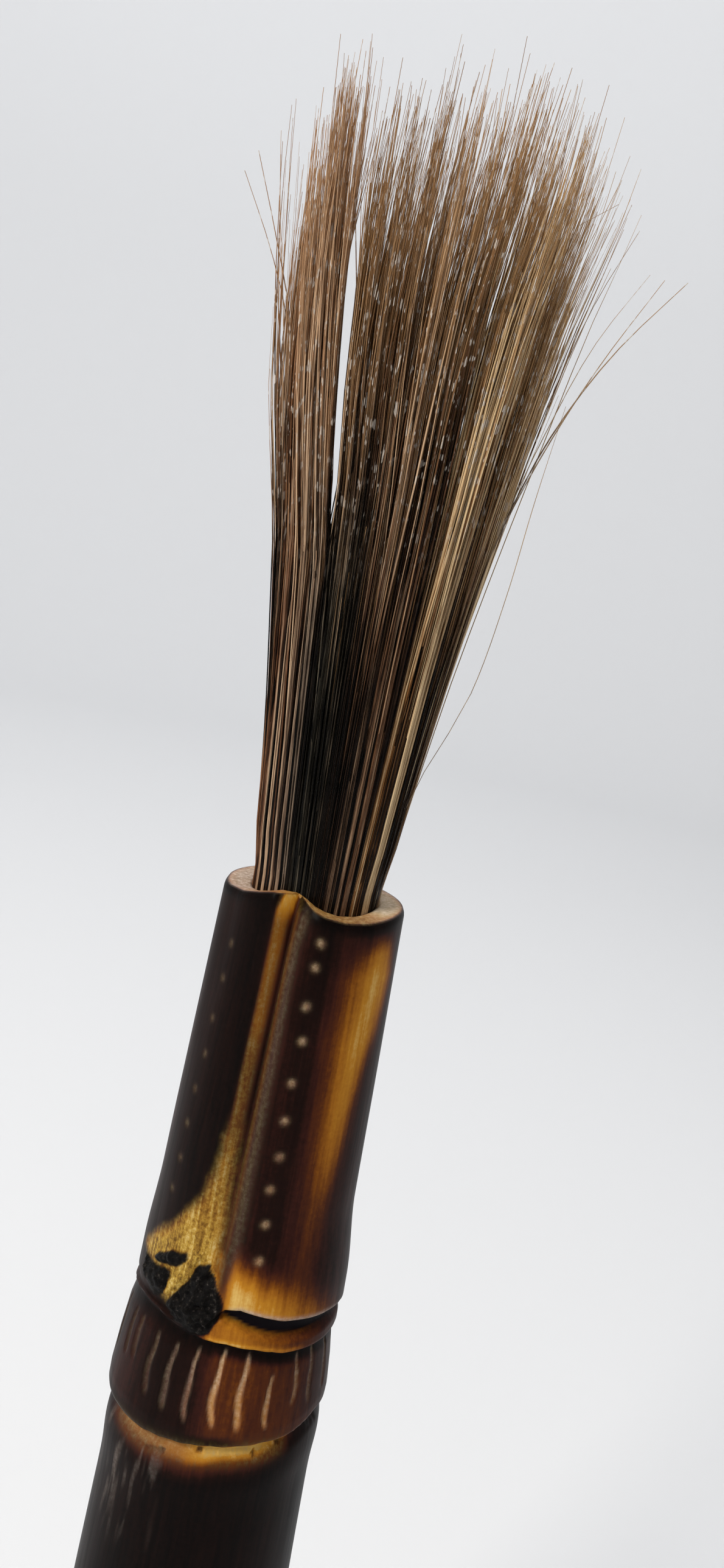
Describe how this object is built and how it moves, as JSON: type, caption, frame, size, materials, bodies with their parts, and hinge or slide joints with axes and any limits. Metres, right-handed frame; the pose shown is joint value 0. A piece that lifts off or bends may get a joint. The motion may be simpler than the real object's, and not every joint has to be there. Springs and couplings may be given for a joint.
{
  "type": "calligraphy brush",
  "caption": "Large handmade calligraphy brush: a fanned tuft of coarse loose hair set in the drilled end of a torched bamboo root handle with a groove, a bud scar and a carved collar.",
  "frame": {"origin": "centre of the sawn butt face of the handle, at z = 0", "axes": "+Z along the handle up to the tips of the hair; -Y is the side with the groove and the bud scar; +X is to the right of that side"},
  "size_m": [0.03, 0.0272, 0.24],
  "materials": {
    "torched_bamboo": "satin, torched and waxed",
    "hide_glue": "dried hide glue",
    "rosin": "melted resin seal",
    "linen_thread": "waxed thread",
    "bound_hair": "glued hair roots",
    "dark_hair": "coarse loose hair",
    "tan_hair": "coarse loose hair",
    "golden_hair": "coarse loose hair",
    "brown_hair": "coarse loose hair"
  },
  "bodies": {
    "handle": {"bamboo_handle": "torched_bamboo", "glue_bed": "hide_glue", "root_seal": "rosin", "root_binding": "linen_thread", "bound_roots": "bound_hair"},
    "tuft_core": {"core_lock": "dark_hair"},
    "left_hair": {"left_lock": "tan_hair"},
    "right_hair": {"right_lock": "golden_hair"},
    "front_hair": {"front_lock": "brown_hair"},
    "back_hair": {"back_lock": "brown_hair"}
  },
  "joints": [
    {"name": "tuft_bend", "type": "hinge", "parent": "handle", "child": "tuft_core", "pos_m": [0, 0, 0.163], "axis": [0, 1, 0], "range_deg": [-18, 18], "stiffness_Nm_per_rad": 0.1},
    {"name": "left_splay", "type": "hinge", "parent": "tuft_core", "child": "left_hair", "pos_m": [-0.00635, 0, 0.1633], "axis": [0, -1, 0], "range_deg": [0, 10], "stiffness_Nm_per_rad": 0.03},
    {"name": "right_splay", "type": "hinge", "parent": "tuft_core", "child": "right_hair", "pos_m": [0.00635, 0, 0.1633], "axis": [0, 1, 0], "range_deg": [0, 10], "stiffness_Nm_per_rad": 0.03},
    {"name": "front_splay", "type": "hinge", "parent": "tuft_core", "child": "front_hair", "pos_m": [0, -0.00635, 0.1633], "axis": [1, 0, 0], "range_deg": [0, 8], "stiffness_Nm_per_rad": 0.03},
    {"name": "back_splay", "type": "hinge", "parent": "tuft_core", "child": "back_hair", "pos_m": [0, 0.00635, 0.1633], "axis": [-1, 0, 0], "range_deg": [0, 8], "stiffness_Nm_per_rad": 0.03}
  ]
}
